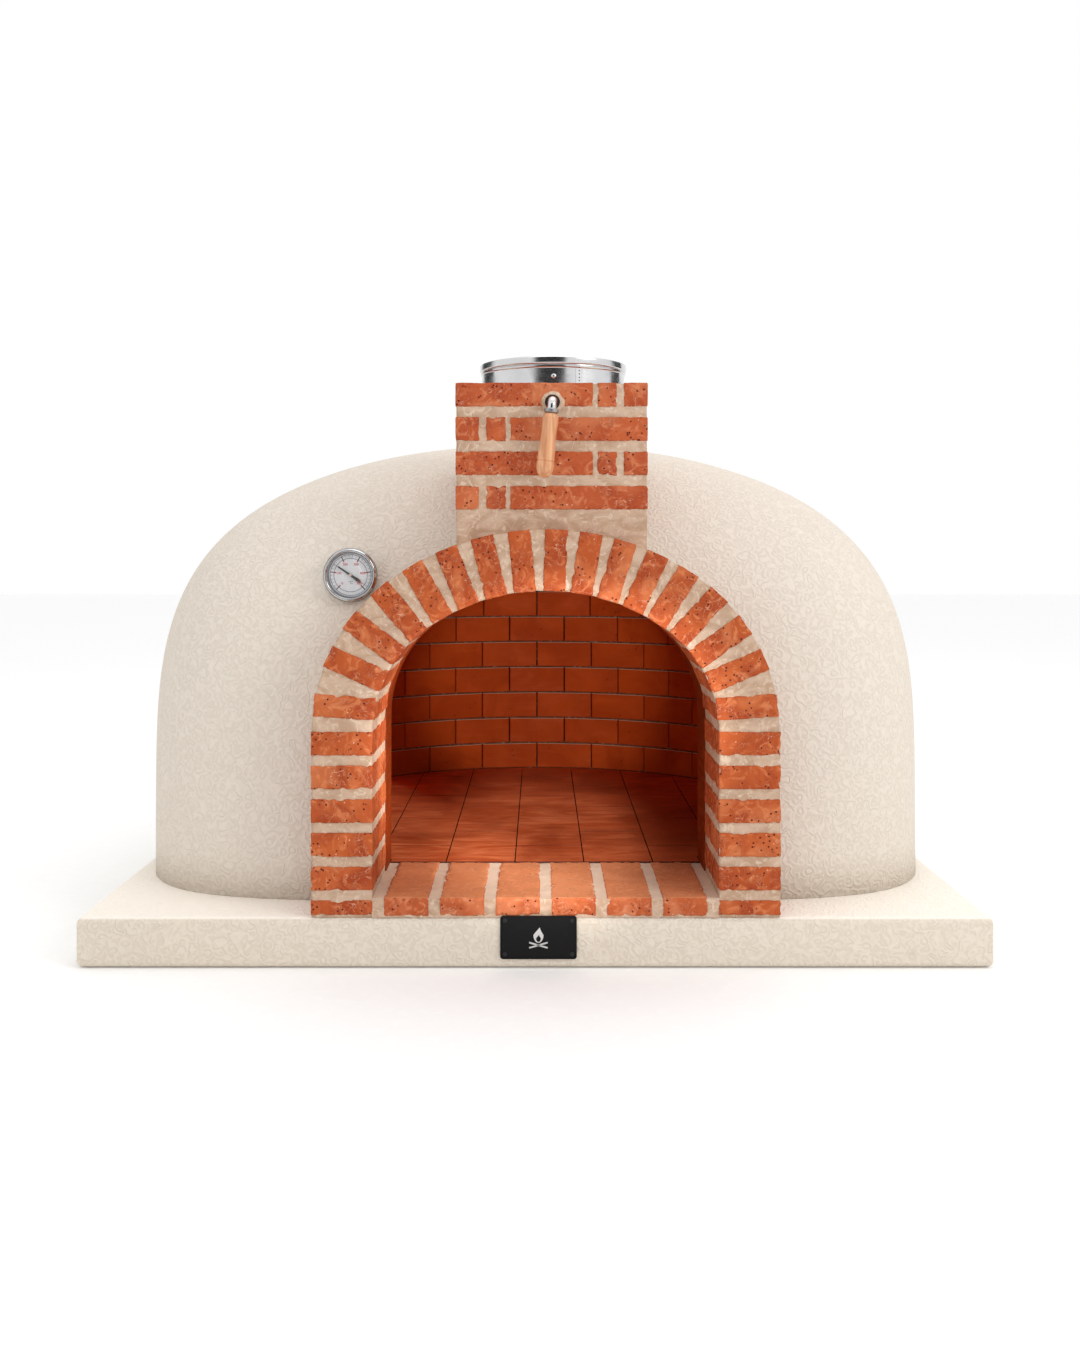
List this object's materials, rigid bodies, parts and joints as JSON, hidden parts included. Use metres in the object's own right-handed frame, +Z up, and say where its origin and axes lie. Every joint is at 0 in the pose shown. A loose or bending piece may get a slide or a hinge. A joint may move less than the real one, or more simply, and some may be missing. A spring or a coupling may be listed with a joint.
{
  "type": "wood fired pizza oven",
  "caption": "Domed wood fired pizza oven with a cream rendered shell on a square slab, a brick arch mouth and threshold, a brick chimney with a flue socket and damper, and a thermometer.",
  "frame": {"origin": "middle of the slab's square underside, on the surface the oven stands on", "axes": "+Z up, -Y out of the oven's mouth, +X to the right seen from the front"},
  "size_m": [1.2, 1.2068, 0.809],
  "materials": {
    "slab_render": "fine worm-textured cement render, cream",
    "dome_render": "fine worm-textured cement render, warm cream",
    "blanket": "ceramic fibre blanket",
    "insulation_board": "calcium silicate board",
    "bedding": "sand and clay bedding",
    "hearth_tile": "smooth dark orange-brown refractory tile",
    "threshold_brick": "pitted salmon-orange brick",
    "arch_brick": "pitted salmon-orange brick",
    "chimney_brick": "pitted salmon-orange brick",
    "dome_brick": "smooth dark orange-brown refractory brick",
    "mortar": "trowelled beige mortar",
    "dome_mortar": "dark refractory mortar",
    "refractory_cast": "cast refractory",
    "stainless": "polished stainless steel",
    "plate_steel": "heat-stained steel plate",
    "steel": "bright steel",
    "gauge_chrome": "polished chrome",
    "black_iron": "black bush",
    "handle_wood": "clear-varnished light hardwood, turned",
    "gauge_glass": "clear flat glass",
    "dial_face": "satin silver-white dial with printed scale",
    "pointer_paint": "black painted pointer with a red-brown tail",
    "plaque_black": "satin black powder coat",
    "emblem_silver": "satin silver flame",
    "screw_black": "black screws"
  },
  "bodies": {
    "oven": {"base_slab": "slab_render", "hearth_board": "insulation_board", "hearth_bedding": "bedding", "hearth_tiles_a": "hearth_tile", "hearth_tiles_b": "hearth_tile", "threshold_bricks": "threshold_brick", "threshold_mortar": "mortar", "arch_leg_left": "arch_brick", "arch_leg_right": "arch_brick", "arch_bricks_left": "arch_brick", "arch_bricks_right": "arch_brick", "arch_crown_bricks": "arch_brick", "arch_keystone": "arch_brick", "arch_mortar": "mortar", "throat_left": "refractory_cast", "throat_right": "refractory_cast", "throat_crown": "refractory_cast", "dome_footing": "dome_brick", "dome_course_1": "dome_brick", "dome_course_2": "dome_brick", "dome_course_3": "dome_brick", "dome_course_4": "dome_brick", "dome_course_5": "dome_brick", "dome_course_6": "dome_brick", "dome_course_7": "dome_brick", "dome_beds": "dome_mortar", "crown_course_1": "dome_brick", "crown_course_2": "dome_brick", "crown_course_3": "dome_brick", "crown_course_4": "dome_brick", "crown_course_5": "dome_brick", "crown_plug": "dome_brick", "insulation_blanket": "blanket", "outer_render": "dome_render", "chimney_course_1": "chimney_brick", "chimney_course_2": "chimney_brick", "chimney_course_3": "chimney_brick", "chimney_course_4": "chimney_brick", "chimney_mortar": "mortar", "flue_pipe": "stainless", "flue_collar": "stainless", "flue_rim": "stainless", "flue_rivets": "stainless", "damper_bush": "black_iron", "gauge_case": "steel", "gauge_bezel": "gauge_chrome", "gauge_glass": "gauge_glass", "gauge_dial": "dial_face", "gauge_stem": "steel", "gauge_sleeve": "steel", "plaque": "plaque_black", "plaque_emblem": "emblem_silver", "plaque_screws": "screw_black"},
    "damper": {"damper_plate": "plate_steel", "damper_spindle": "steel", "damper_screws": "steel", "handle_ferrule": "gauge_chrome", "damper_handle": "handle_wood"},
    "pointer": {"gauge_pointer": "pointer_paint"}
  },
  "joints": [
    {"name": "damper_turn", "type": "hinge", "parent": "oven", "child": "damper", "pos_m": [0.023, -0.441, 0.7435], "axis": [0, 1, 0], "range_deg": [-90, 90]},
    {"name": "pointer_turn", "type": "hinge", "parent": "oven", "child": "pointer", "pos_m": [-0.257, -0.5, 0.512], "axis": [0, 1, 0], "range_deg": [-79.2, 190.8]}
  ]
}
